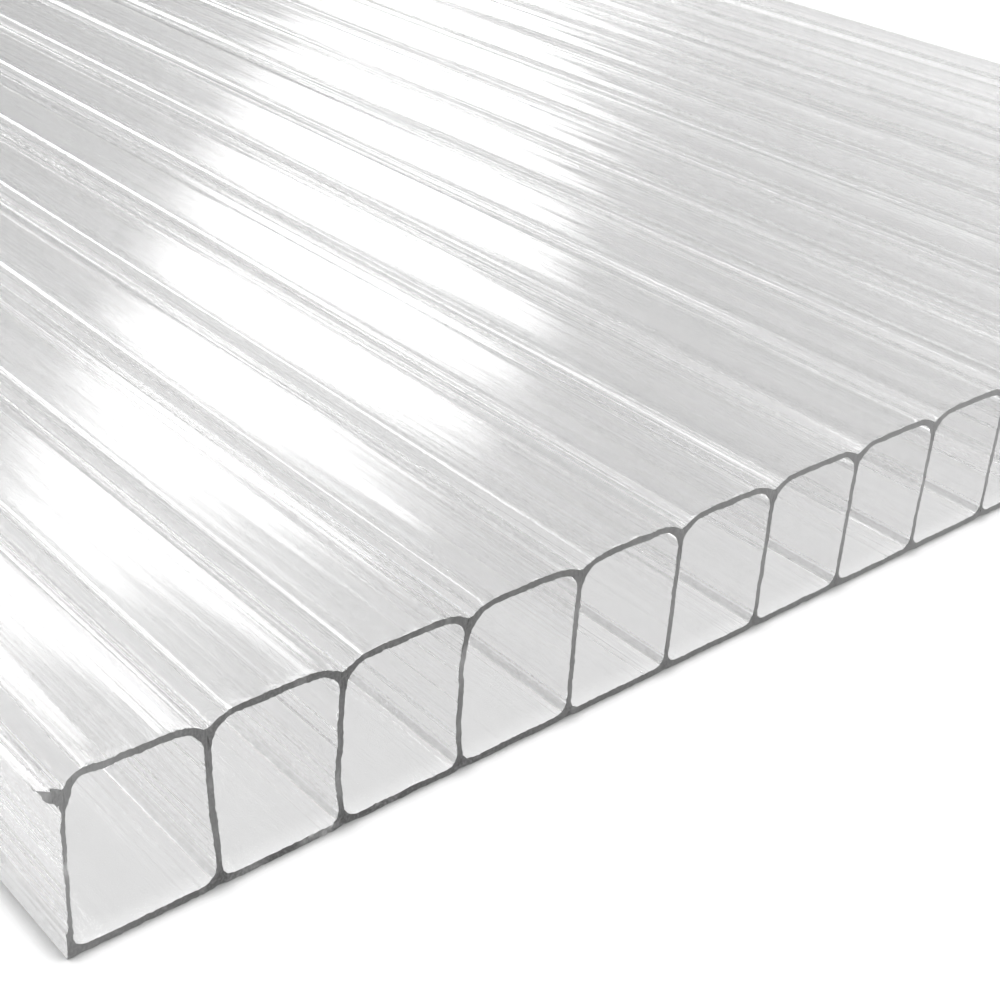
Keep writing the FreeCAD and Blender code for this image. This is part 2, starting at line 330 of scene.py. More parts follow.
@dataclass
class TwinWallSheet:
    """The sheet itself: one clear body, with its ends sawn.

    Args:
        section: what the die gives the sheet.
        low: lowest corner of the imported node.
        high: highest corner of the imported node.
        rib_parts: how many edges the outline has along a rib; the other parts are counted alike.
        near_rows: how far behind the cut end in view the rings of points stand.
        far_rows: how far before the other end they stand.
        span_rows: how many stretches the length between them is divided into.
    """

    section: DieSection
    low: Vector
    high: Vector
    rib_parts: int = 24
    corner_parts: int = 8
    roof_parts: int = 16
    base_corner_parts: int = 5
    floor_parts: int = 24
    valley_parts: int = 2
    shoulder_parts: int = 6
    base_valley_parts: int = 2
    base_shoulder_parts: int = 3
    near_rows: tuple[float, ...] = (0.1 * MM, 0.25 * MM, 0.6 * MM, 2.0 * MM, 8.0 * MM)
    far_rows: tuple[float, ...] = (2.0 * MM, 0.25 * MM)
    span_rows: int = 4
    body: bpy.types.Object = field(init=False)

    @property
    def first_rib(self) -> float:
        """X of the first rib's middle."""
        return self.low.x + self.section.stub

    def rib_line(self, number: int) -> float:
        """Gives the X of a rib's middle.

        Args:
            number: which rib, 0 at the torn edge.

        Returns:
            The X.
        """
        return self.first_rib + number * self.section.pitch

    @property
    def flute_count(self) -> int:
        """How many whole flutes the width holds."""
        width = self.high.x - self.section.rib / 2 - self.first_rib
        return round(width / self.section.pitch)

    @property
    def rows(self) -> list[float]:
        """Y of every ring of points, from the cut end in view to the far one."""
        near = [self.low.y + step for step in self.near_rows]
        far = [self.high.y - step for step in self.far_rows]
        start, stop = near[-1], far[0]
        middle = [start + (stop - start) * part / self.span_rows for part in range(1, self.span_rows)]
        return [*near, *middle, *far, self.high.y]

    def new_object(self, name: str) -> bpy.types.Object:
        """Adds an empty mesh to draw in, in edit mode.

        Args:
            name: the object's name.

        Returns:
            The object, in edit mode with no points.
        """
        deselect_all()
        bpy.ops.mesh.primitive_plane_add(size=MM, location=(0.0, 0.0, 0.0))
        piece = bpy.context.active_object
        piece.name = name
        piece.data.name = name
        bpy.ops.object.mode_set(mode="EDIT")
        bpy.ops.mesh.select_all(action="SELECT")
        bpy.ops.mesh.delete(type="VERT")
        bpy.context.tool_settings.mesh_select_mode = (True, False, False)
        return piece

    def valley_stroke(self, side: int) -> Stroke:
        """Gives the round at the bottom of a valley.

        Args:
            side: the flute's side on which the valley lies, -1 left or 1 right.

        Returns:
            The stroke, from the shoulder to the rib's middle or back.
        """
        s = self.section
        centre = (side * s.half_pitch, s.valley + s.valley_round)
        return Stroke(self.valley_parts, centre=centre, turn=-s.valley_slope)

    def shoulder_stroke(self, side: int) -> Stroke:
        """Gives one shoulder of a flute.

        Args:
            side: -1 for the left shoulder, 1 for the right one.

        Returns:
            The stroke, left to right.
        """
        s = self.section
        across, up = s.shoulder_centre
        centre = (side * (s.half_pitch - across), up)
        return Stroke(self.shoulder_parts, centre=centre, turn=s.valley_slope - s.crown)

    def outer_strokes(self) -> list[Stroke]:
        """Gives the outside of one flute, clockwise from the left valley, by way of both ribs' middles.

        Returns:
            The strokes, which end where they start.
        """
        s = self.section
        flat = s.half_pitch - s.base_reach
        rise = s.base_shoulder_radius
        cusp_turn = s.base_slope
        base = []
        for side in (1, -1):
            round_centre = (side * s.half_pitch, s.base_depth - s.base_round)
            shoulder_centre = (side * flat, rise)
            cusp = Stroke(self.base_valley_parts, centre=round_centre, turn=-cusp_turn)
            shoulder = Stroke(self.base_shoulder_parts, centre=shoulder_centre, turn=cusp_turn)
            base.append([cusp, shoulder] if side > 0 else [shoulder, cusp])
        return [
            self.valley_stroke(-1),
            self.shoulder_stroke(-1),
            Stroke(self.roof_parts, centre=(0.0, s.thickness - s.crest_radius), turn=2 * s.crown),
            self.shoulder_stroke(1),
            self.valley_stroke(1),
            Stroke(self.rib_parts, reach=(s.half_pitch, s.base_depth)),
            *base[0],
            Stroke(self.floor_parts, reach=(-flat, 0.0)),
            *base[1],
            Stroke(self.rib_parts, reach=(-s.half_pitch, s.valley)),
        ]

    def inner_strokes(self) -> list[Stroke]:
        """Gives the inside of one flute, clockwise from the top of its left rib.

        Returns:
            The strokes, which end where they start.
        """
        s = self.section
        corner = s.half_flute - s.top_corner
        heel = s.half_flute - s.base_corner
        heel_up = s.base_skin + s.base_corner
        top_turn = math.pi / 2 - s.roof_slope
        roof_centre = (0.0, s.thickness - s.top_skin - s.roof_radius)
        return [
            Stroke(self.corner_parts, centre=(-corner, s.roof_spring), turn=top_turn),
            Stroke(self.roof_parts, centre=roof_centre, turn=2 * s.roof_slope),
            Stroke(self.corner_parts, centre=(corner, s.roof_spring), turn=top_turn),
            Stroke(self.rib_parts, reach=(s.half_flute, heel_up)),
            Stroke(self.base_corner_parts, centre=(heel, heel_up), turn=math.pi / 2),
            Stroke(self.floor_parts, reach=(-heel, s.base_skin)),
            Stroke(self.base_corner_parts, centre=(-heel, heel_up), turn=math.pi / 2),
            Stroke(self.rib_parts, reach=(-s.half_flute, s.roof_spring)),
        ]

    def left_edge_strokes(self) -> list[Stroke]:
        """Gives the half of the first rib that faces out, with the stub of skin on it.

        Returns:
            The strokes, anticlockwise from the valley over the first rib.
        """
        s = self.section
        across, up = s.shoulder_centre
        lean = math.asin((across - s.stub) / s.shoulder_radius)
        under_middle = (-s.rib / 2 - s.top_corner, s.roof_spring)
        under_lean = math.asin((under_middle[0] + s.stub) / -s.top_corner)
        under_end = s.roof_spring + s.top_corner * math.cos(under_lean)
        return [
            Stroke(self.valley_parts, centre=(0.0, s.valley + s.valley_round), turn=s.valley_slope),
            Stroke(self.shoulder_parts, centre=(-across, up), turn=lean - s.valley_slope),
            Stroke(2, reach=(-s.stub, under_end)),
            Stroke(self.corner_parts, centre=under_middle, turn=math.pi / 2 - under_lean),
            Stroke(self.rib_parts, reach=(-s.rib / 2, s.base_skin + s.base_corner)),
            Stroke(self.base_corner_parts, reach=(-s.rib / 2, 0.0)),
            Stroke(1, reach=(0.0, s.base_depth)),
            Stroke(self.rib_parts, reach=(0.0, s.valley)),
        ]

    def right_edge_strokes(self) -> list[Stroke]:
        """Gives the half of the last rib that faces out.

        Returns:
            The strokes, clockwise from the valley over the last rib.
        """
        s = self.section
        lip = math.asin(s.rib / 2 / s.valley_round)
        lip_up = s.valley + s.valley_round * (1 - math.cos(min(lip, s.valley_slope)))
        return [
            Stroke(1, reach=(s.rib / 2, lip_up)),
            Stroke(self.rib_parts, reach=(s.rib / 2, s.base_depth / 2)),
            Stroke(1, reach=(0.0, s.base_depth)),
            Stroke(self.rib_parts, reach=(0.0, s.valley)),
        ]

    def draw_out(self) -> None:
        """Draws the filled section, all of it selected in edit mode, out along the sheet."""
        here = self.low.y
        for row in self.rows:
            step = ALONG * (row - here)
            bpy.ops.mesh.extrude_region_move(TRANSFORM_OT_translate={"value": step})
            here = row
        bpy.ops.mesh.select_all(action="SELECT")
        bpy.ops.mesh.normals_make_consistent(inside=False)

    def open_middles(self, piece: bpy.types.Object, middles: list[float]) -> None:
        """Takes away the faces that lie in a rib's middle, where the next piece is welded on.

        Args:
            piece: the object in edit mode.
            middles: the X of each such plane.
        """
        def in_middle(face: bmesh.types.BMFace) -> bool:
            """Says whether the whole face lies in one of the planes."""
            return any(all(abs(v.co.x - x) < WELD for v in face.verts) for x in middles)

        pick_faces(piece, in_middle)
        bpy.ops.mesh.delete(type="FACE")
        bpy.ops.object.mode_set(mode="OBJECT")

    def model_flute(self) -> bpy.types.Object:
        """Models the first flute, from the first rib's middle to the second's.

        Returns:
            The flute, open at both ribs' middles.
        """
        s = self.section
        middle = self.first_rib + s.half_pitch
        piece = self.new_object("flute")
        pen = OutlinePen(middle, self.low.y)
        pen.draw((-s.half_pitch, s.valley), self.outer_strokes())
        pen.draw((-s.half_flute, s.roof_spring), self.inner_strokes())
        bpy.ops.mesh.select_all(action="SELECT")
        bpy.ops.mesh.bridge_edge_loops()
        bpy.ops.mesh.select_all(action="SELECT")
        self.draw_out()
        self.open_middles(piece, [middle - s.half_pitch, middle + s.half_pitch])
        return piece

    def model_edge(self, name: str, rib: float, strokes: list[Stroke]) -> bpy.types.Object:
        """Models one edge of the sheet, the outer half of its first or last rib.

        Args:
            name: the object's name.
            rib: X of that rib's middle.
            strokes: the outline, from the valley over the rib.

        Returns:
            The edge, open at the rib's middle.
        """
        piece = self.new_object(name)
        OutlinePen(rib, self.low.y).draw((0.0, self.section.valley), strokes)
        bpy.ops.mesh.select_all(action="SELECT")
        bpy.ops.mesh.edge_face_add()
        bpy.ops.mesh.quads_convert_to_tris(quad_method="BEAUTY", ngon_method="BEAUTY")
        self.draw_out()
        self.open_middles(piece, [rib])
        return piece

    def weld(self, pieces: list[bpy.types.Object]) -> None:
        """Joins the flutes and the edges and welds them at the ribs' middles.

        Args:
            pieces: the flutes and the two edges.
        """
        deselect_all()
        for piece in pieces:
            piece.select_set(True)
        bpy.context.view_layer.objects.active = pieces[0]
        bpy.ops.object.join()
        self.body = bpy.context.active_object
        self.body.name = "clear_twinwall_sheet"
        self.body.data.name = "clear_twinwall_sheet"
        bpy.ops.object.mode_set(mode="EDIT")
        bpy.ops.mesh.select_all(action="SELECT")
        bpy.ops.mesh.remove_doubles(threshold=WELD)
        bpy.ops.mesh.normals_make_consistent(inside=False)
        bpy.ops.object.mode_set(mode="OBJECT")

    def square_first_corner(self) -> None:
        """Sets the underside of the first rib down on the floor, where the sheet has a square corner."""
        s = self.section
        activate(self.body)
        bpy.ops.object.mode_set(mode="EDIT")
        limit = self.first_rib + s.base_reach

        def under_rib(place: Vector) -> bool:
            """Says whether the point belongs to the cusp under the first rib."""
            return place.x < limit and place.z < s.base_depth + WELD

        pick_points(self.body, under_rib)
        bpy.ops.transform.resize(value=(1, 1, 0), center_override=(limit, 0, 0))
        bpy.ops.object.mode_set(mode="OBJECT")

    def build(self) -> bpy.types.Object:
        """Models the whole sheet.

        Returns:
            The finished body.
        """
        s = self.section
        flute = self.model_flute()
        pieces = [flute]
        for number in range(1, self.flute_count):
            copy = flute.copy()
            copy.data = flute.data.copy()
            copy.data.transform(copy.matrix_world.Translation(Vector((number * s.pitch, 0, 0))))
            bpy.context.scene.collection.objects.link(copy)
            pieces.append(copy)
        last_rib = self.rib_line(self.flute_count)
        pieces.append(self.model_edge("left_edge", self.first_rib, self.left_edge_strokes()))
        pieces.append(self.model_edge("right_edge", last_rib, self.right_edge_strokes()))
        self.weld(pieces)
        self.square_first_corner()
        return self.body

    def dress(self) -> None:
        """Gives the sheet its finishes, the sawn one, with its painted shade, on both ends."""
        first, pitch = self.first_rib, self.section.pitch
        self.body.data.materials.clear()
        self.body.data.materials.append(ClearPolycarbonate(first, pitch).make())
        self.body.data.materials.append(SawnEdge().make())
        points = self.body.data.vertices
        for face in self.body.data.polygons:
            for end in (self.low.y, self.high.y):
                if all(abs(points[index].co.y - end) < WELD for index in face.vertices):
                    face.material_index = Finish.SAWN

    def hand_over(self) -> None:
        """Shades the finished body and names its place in the frame."""
        activate(self.body)
        bpy.ops.object.shade_smooth_by_angle(angle=math.radians(28))
        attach(self.body, BODY)
        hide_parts(NODE)


@dataclass(frozen=True)
class Nudge:
    """A place in the section where the sheet stands off its true line, all along the sheet.

    Args:
        rib: the rib that it is counted from, 0 at the torn edge.
        across: from that rib's middle to the spot.
        up: height of the spot.
        shift: how far it stands off, as (across, up).
        reach: how far around it the sheet follows.
    """

    rib: int
    across: float
    up: float
    shift: tuple[float, float]
    reach: float = 5.0 * MM


@dataclass(frozen=True)
class PaleSpot:
    """A stretch of the sawn rim that came out paler.

    Args:
        rib: the rib that it is counted from, 0 at the torn edge.
        across: from that rib's middle to the spot's middle.
        up: height of the spot's middle.
        size: half its width and half its height.
        share: how pale it is, where 1 is the usual pale grey and more is near white.
    """

    rib: int
    across: float
    up: float
    size: tuple[float, float]
    share: float = 1.0

    def strength(self, across: float, up: float) -> float:
        """Says how strong the spot is at a place.

        Args:
            across: from the rib's middle to the place.
            up: height of the place.

        Returns:
            From 0, outside, to 1 in the middle.
        """
        far = ((across - self.across) / self.size[0]) ** 2 + ((up - self.up) / self.size[1]) ** 2
        return max(0.0, 1.0 - far)


@dataclass
class SawnEnds:
    """What the saw and the tear left: frayed rims, ribs off their line, pale spots and a torn stub.

    Args:
        sheet: the welded and dressed sheet.
        scatter: how far the points of a rim stray, one by one.
        stray: how far the section strays near a cut, and over what distance it turns, across and up.
        fade_depth: how deep behind a cut the straying ends.
        thin_share: how much of its thickness the first rib has between its corners.
        tip_top: how far the top of the torn stub's tip stands off at the cut, as (across, up).
        tip_under: how far the underside of the tip does, which slants it.
        heel_fill: how far the hollow under the stub is filled beside the rib, the same way.
        tear_cuts: how many points the stub's long edge gets in each stretch between two rings.
    """

    sheet: TwinWallSheet
    scatter: float = 0.03 * MM
    stray: tuple[float, float, float] = (0.16 * MM, 1.1 * MM, 0.9 * MM)
    fade_depth: float = 0.7 * MM
    thin_share: float = 0.6
    thin_span: tuple[float, float] = (1.6 * MM, 8.2 * MM)
    tip_top: tuple[float, float] = (0.0, -0.08 * MM)
    tip_under: tuple[float, float] = (0.24 * MM, -0.20 * MM)
    heel_fill: tuple[float, float] = (0.0, -0.24 * MM)
    tear_cuts: int = 36
    tear_scatter: float = 0.16 * MM
    hold: float = 0.45 * MM
    nudges: tuple[Nudge, ...] = (
        Nudge(0, 0.0, 9.1 * MM, (0.28 * MM, 0.0)),
        Nudge(0, 0.0, 5.0 * MM, (0.17 * MM, 0.0)),
        Nudge(0, 0.0, 1.0 * MM, (0.19 * MM, 0.0)),
        Nudge(0, -1.2 * MM, 9.7 * MM, (0.32 * MM, -0.05 * MM), 2.2 * MM),
        Nudge(0, 1.3 * MM, 9.9 * MM, (-0.15 * MM, 0.14 * MM), 1.0 * MM),
        Nudge(1, 0.0, 9.0 * MM, (-0.10 * MM, 0.0)),
        Nudge(1, 0.0, 5.0 * MM, (0.07 * MM, 0.0)),
        Nudge(1, 0.0, 0.8 * MM, (0.36 * MM, 0.0), 4.4 * MM),
        Nudge(2, 0.0, 8.5 * MM, (-0.14 * MM, 0.0), 4.0 * MM),
        Nudge(2, 0.0, 4.8 * MM, (-0.26 * MM, 0.0), 4.2 * MM),
        Nudge(2, 0.0, 2.4 * MM, (-0.17 * MM, 0.0), 2.6 * MM),
        Nudge(3, 0.0, 7.2 * MM, (-0.17 * MM, 0.0), 1.5 * MM),
        Nudge(3, 0.0, 4.6 * MM, (-0.33 * MM, 0.0), 4.2 * MM),
        Nudge(3, 0.0, 1.6 * MM, (-0.10 * MM, 0.0), 2.6 * MM),
        Nudge(4, 0.0, 5.5 * MM, (-0.07 * MM, 0.0)),
    )
    spots: tuple[PaleSpot, ...] = (
        PaleSpot(0, 0.1 * MM, 5.05 * MM, (0.9 * MM, 0.55 * MM), 3.0),
        PaleSpot(0, 0.22 * MM, 5.1 * MM, (0.5 * MM, 1.1 * MM), 0.8),
        PaleSpot(0, -0.6 * MM, 9.45 * MM, (0.8 * MM, 0.40 * MM), 1.5),
        PaleSpot(0, -1.0 * MM, 9.9 * MM, (0.5 * MM, 0.30 * MM), 0.7),
        PaleSpot(0, 1.0 * MM, 9.9 * MM, (0.5 * MM, 0.35 * MM), 0.6),
        PaleSpot(0, 2.4 * MM, 9.8 * MM, (1.5 * MM, 0.5 * MM), 0.35),
        PaleSpot(1, 0.15 * MM, 6.2 * MM, (0.3 * MM, 0.35 * MM), 0.5),
        PaleSpot(1, 2.1 * MM, 0.2 * MM, (1.2 * MM, 0.5 * MM), 0.5),
        PaleSpot(2, -0.4 * MM, 2.6 * MM, (0.5 * MM, 1.7 * MM), 0.4),
        PaleSpot(2, -1.3 * MM, 0.30 * MM, (1.4 * MM, 0.4 * MM), 0.7),
        PaleSpot(2, -1.9 * MM, 0.40 * MM, (0.25 * MM, 0.18 * MM), 2.0),
        PaleSpot(2, -1.2 * MM, 0.12 * MM, (0.22 * MM, 0.16 * MM), 1.8),
        PaleSpot(2, -0.7 * MM, 0.42 * MM, (0.35 * MM, 0.14 * MM), 1.8),
        PaleSpot(2, 2.1 * MM, 0.35 * MM, (0.35 * MM, 0.12 * MM), 1.6),
        PaleSpot(3, -0.3 * MM, 6.6 * MM, (0.5 * MM, 1.5 * MM), 0.6),
        PaleSpot(4, -0.1 * MM, 7.0 * MM, (0.5 * MM, 1.9 * MM), 0.45),
    )

    def thin_first_rib(self) -> None:
        """Narrows the first rib between its corners."""
        first = self.sheet.first_rib
        bottom, top = self.thin_span

        def on_rib(place: Vector) -> bool:
            """Says whether the point lies on the slender part of the first rib."""
            return abs(place.x - first) < self.sheet.section.rib and bottom < place.z < top

        pick_points(self.sheet.body, on_rib)
        bpy.ops.transform.resize(value=(self.thin_share, 1, 1), center_override=(first, 0, 0))

    def split_rims(self) -> None:
        """Divides each face of the two rims in four, so that they can fray finely."""
        pick_faces(self.sheet.body, lambda face: face.material_index == Finish.SAWN)
        bpy.ops.mesh.subdivide(number_cuts=1)

    def lower_stub(self) -> None:
        """Pulls the stub down to a wedge near the cut, as torn plastic hangs."""
        s, low = self.sheet.section, self.sheet.low
        behind = low.y + self.sheet.near_rows[3] + WELD
        tip, heel = low.x + self.hold, self.sheet.first_rib - s.rib
        between = s.thickness - s.top_skin * 0.6
        moves = (
            (low.x - WELD, tip, between, s.thickness, self.tip_top),
            (low.x - WELD, tip, s.roof_spring, between, self.tip_under),
            (tip, heel, s.roof_spring, s.valley - WELD, self.heel_fill),
        )
        for left, right, bottom, top, (across, up) in moves:
            def in_window(place: Vector) -> bool:
                """Says whether the point lies in this part of the stub, near the cut."""
                return left < place.x < right and bottom < place.z < top and place.y < behind

            pick_points(self.sheet.body, in_window)
            bpy.ops.transform.translate(value=(across, 0, up))

    def tear_stub(self) -> None:
        """Makes the long edge of the stub ragged, as it tore off its flute."""
        low = self.sheet.low
        longest = self.sheet.near_rows[-1]

        def on_tip(place: Vector) -> bool:
            """Says whether the point lies on the stub's long edge."""
            return place.x < low.x + WELD

        pick_long_edges(self.sheet.body, on_tip, longest)
        bpy.ops.mesh.subdivide(number_cuts=self.tear_cuts)
        pick_points(self.sheet.body, on_tip)
        bpy.ops.transform.vertex_random(offset=self.tear_scatter, uniform=0.2, normal=0.0, seed=11)

    def stand_off(self) -> None:
        """Moves each nudged place of the section off its true line, and what is around it along."""
        for spot in self.nudges:
            centre = Vector((self.sheet.rib_line(spot.rib) + spot.across, spot.up))
            pick_points(self.sheet.body, lambda place: (place.xz - centre).length < self.hold)
            bpy.ops.transform.translate(
                value=(spot.shift[0], 0, spot.shift[1]),
                use_proportional_edit=True,
                proportional_edit_falloff="SMOOTH",
                proportional_size=spot.reach,
            )

    def fray(self, depth: float, scatter: float, seed: int) -> None:
        """Scatters the points of both ends.

        Args:
            depth: how far behind a cut points still count.
            scatter: how far a point may stray.
            seed: which of the random patterns is used.
        """
        front, back = self.sheet.low.y + depth, self.sheet.high.y - depth
        pick_points(self.sheet.body, lambda place: place.y < front or place.y > back)
        bpy.ops.transform.vertex_random(offset=scatter, uniform=0.2, normal=0.0, seed=seed)

    def weigh_ends(self) -> bpy.types.VertexGroup:
        """Makes the vertex group that says how much of the straying reaches each point.

        Returns:
            The group.
        """
        body = self.sheet.body
        group = body.vertex_groups.new(name="near_cuts")
        for vertex in body.data.vertices:
            depth = min(vertex.co.y - self.sheet.low.y, self.sheet.high.y - vertex.co.y)
            share = 1.0 - max(depth, 0.0) / self.fade_depth
            if share > 0:
                group.add([vertex.index], share**2, "REPLACE")
        return group

    def let_stray(self, axis: str, grain: float, group: bpy.types.VertexGroup) -> None:
        """Lets the section stray along one axis near the cuts.

        Args:
            axis: X or Z.
            grain: distance over which the straying turns.
            group: how much of it reaches each point.
        """
        body = self.sheet.body
        cloud = bpy.data.textures.new(f"stray_{axis.lower()}", "CLOUDS")
        cloud.noise_scale = grain
        cloud.noise_depth = 2
        activate(body)
        bpy.ops.object.modifier_add(type="DISPLACE")
        push = body.modifiers[-1]
        push.texture = cloud
        push.texture_coords = "LOCAL"
        push.direction = axis
        push.mid_level = 0.5
        push.strength = self.stray[0]
        push.vertex_group = group.name
        bpy.ops.object.modifier_apply(modifier=push.name)

    def set_down(self) -> None:
        """Brings the points that strayed below the floor back onto it."""
        pick_points(self.sheet.body, lambda place: place.z < 0)
        bpy.ops.transform.resize(value=(1, 1, 0), center_override=(0, 0, 0))

    def paint_spots(self) -> None:
        """Writes how pale the rim is at each point."""
        sheet, mesh = self.sheet, self.sheet.body.data
        pale = mesh.attributes.new(SawnEdge.PALE, "FLOAT", "POINT")
        front = sheet.low.y + self.hold
        for vertex in mesh.vertices:
            if vertex.co.y < front:
                shares = [
                    spot.share * spot.strength(vertex.co.x - sheet.rib_line(spot.rib), vertex.co.z)
                    for spot in self.spots
                ]
                pale.data[vertex.index].value = max(shares)

    def wear(self) -> None:
        """Does all of it."""
        activate(self.sheet.body)
        bpy.ops.object.mode_set(mode="EDIT")
        self.thin_first_rib()
        self.lower_stub()
        self.tear_stub()
        self.split_rims()
        self.stand_off()
        bpy.ops.object.mode_set(mode="OBJECT")
        group = self.weigh_ends()
        self.let_stray("X", self.stray[1], group)
        self.let_stray("Z", self.stray[2], group)
        self.sheet.body.vertex_groups.clear()
        activate(self.sheet.body)
        bpy.ops.object.mode_set(mode="EDIT")
        first_row, second_row = self.sheet.near_rows[:2]
        self.fray(first_row / 2, self.scatter, 3)
        self.fray(second_row - WELD, self.scatter / 2, 5)
        self.set_down()
        bpy.ops.object.mode_set(mode="OBJECT")
        self.paint_spots()


class Graph:
    """The node tree of a material or of the world, built with a short call for each node."""

    def __init__(self, owner: bpy.types.Material | bpy.types.World) -> None:
        """Empties the owner's tree.

        Args:
            owner: the material or world.
        """
        owner.use_nodes = True
        self.tree = owner.node_tree
        self.tree.nodes.clear()

    def add(self, kind: str, settings: dict | None = None, inputs: dict | None = None) -> bpy.types.Node:
        """Adds a node.

        Args:
            kind: the node's type, without its ShaderNode prefix.
            settings: values of the node's own properties.
            inputs: for each input's name or number, a value or the socket that feeds it.

        Returns:
            The new node.
        """
        node = self.tree.nodes.new("ShaderNode" + kind)
        for name, value in (settings or {}).items():
            setattr(node, name, value)
        for name, value in (inputs or {}).items():
            if isinstance(value, bpy.types.NodeSocket):
                self.tree.links.new(value, node.inputs[name])
            else:
                node.inputs[name].default_value = value
        return node

    def math(self, operation: str, first: object, second: object = 0.0) -> bpy.types.NodeSocket:
        """Adds one sum.

        Args:
            operation: the Math node's operation.
            first: a number or socket.
            second: a number or socket.

        Returns:
            The result.
        """
        node = self.add("Math", {"operation": operation}, {0: first, 1: second})
        return node.outputs[0]

    def spread(self, value: bpy.types.NodeSocket, source: tuple, result: tuple) -> bpy.types.NodeSocket:
        """Maps a range of numbers to another one, held at its ends.

        Args:
            value: the number to map.
            source: the lowest and highest number that come in.
            result: the numbers that these become.

        Returns:
            The mapped number.
        """
        inputs = {0: value, 1: source[0], 2: source[1], 3: result[0], 4: result[1]}
        return self.add("MapRange", inputs=inputs).outputs[0]

    def grain(self, size: tuple, detail: float = 2.0, seed: float = 0.0) -> bpy.types.NodeSocket:
        """Adds noise whose grains have a real size along each axis.

        Args:
            size: length of a grain along X, Y and Z, in metres.
            detail: how many finer layers the noise has.
            seed: moves the noise, so that no two look alike.

        Returns:
            The noise, from 0 to 1.
        """
        place = self.add("TexCoord").outputs["Object"]
        scale = tuple(1 / length for length in size)
        inputs = {"Vector": place, "Location": (seed, seed, seed), "Scale": scale}
        moved = self.add("Mapping", inputs=inputs).outputs[0]
        return self.add("TexNoise", inputs={"Vector": moved, "Scale": 1.0, "Detail": detail}).outputs[0]

    def along(self, way: tuple[float, float, float], place: str = "Object") -> bpy.types.NodeSocket:
        """Adds the distance along a direction.

        Args:
            way: the direction; its length says how much one metre counts.
            place: which coordinates are measured.

        Returns:
            The distance.
        """
        inputs = {0: self.add("TexCoord").outputs[place], 1: way}
        return self.add("VectorMath", {"operation": "DOT_PRODUCT"}, inputs).outputs[1]

    def die_lines(self, width: float, length: float) -> bpy.types.NodeSocket:
        """Adds straight lines that run along the sheet, uneven across it and up its walls.

        Args:
            width: how wide the widest lines are.
            length: over what distance a line changes.

        Returns:
            Their strength, from 0 to 1.
        """
        section = self.along((1 / width, 0, 0.7 / width))
        inputs = {0: section, 1: self.along((0, 1 / length, 0))}
        place = self.add("CombineXYZ", inputs=inputs).outputs[0]
        noise = {"Vector": place, "Scale": 1.0, "Detail": 3.0, "Roughness": 1.0}
        return self.add("TexNoise", {"noise_dimensions": "2D"}, noise).outputs[0]

    def lean(self, slope: bpy.types.NodeSocket) -> bpy.types.NodeSocket:
        """Adds the surface's normal, leant over sideways about the sheet's length.

        Args:
            slope: how far it leans.

        Returns:
            The leant normal.
        """
        upright = self.add("NewGeometry").outputs["Normal"]
        side = self.add("VectorMath", {"operation": "CROSS_PRODUCT"}, {0: upright, 1: ALONG}).outputs[0]
        push = self.add("VectorMath", {"operation": "SCALE"}, {0: side, "Scale": slope}).outputs[0]
        leant = self.add("VectorMath", {"operation": "ADD"}, {0: upright, 1: push}).outputs[0]
        return self.add("VectorMath", {"operation": "NORMALIZE"}, {0: leant}).outputs[0]

    def from_rib(self, first: float, pitch: float) -> bpy.types.NodeSocket:
        """Adds the distance from the nearest rib's middle, below zero on its left.

        Args:
            first: X of the first rib's middle.
            pitch: from one rib to the next.

        Returns:
            The distance across the sheet.
        """
        across = self.math("SUBTRACT", self.along((1, 0, 0)), first - pitch / 2)
        return self.math("SUBTRACT", self.math("FLOORED_MODULO", across, pitch), pitch / 2)

    def end(self, shader: bpy.types.Node, output: str = "OutputMaterial") -> None:
        """Ends the tree.

        Args:
            shader: the node whose shader is shown.
            output: the kind of output node.
        """
        self.add(output, inputs={"Surface": shader.outputs[0]})


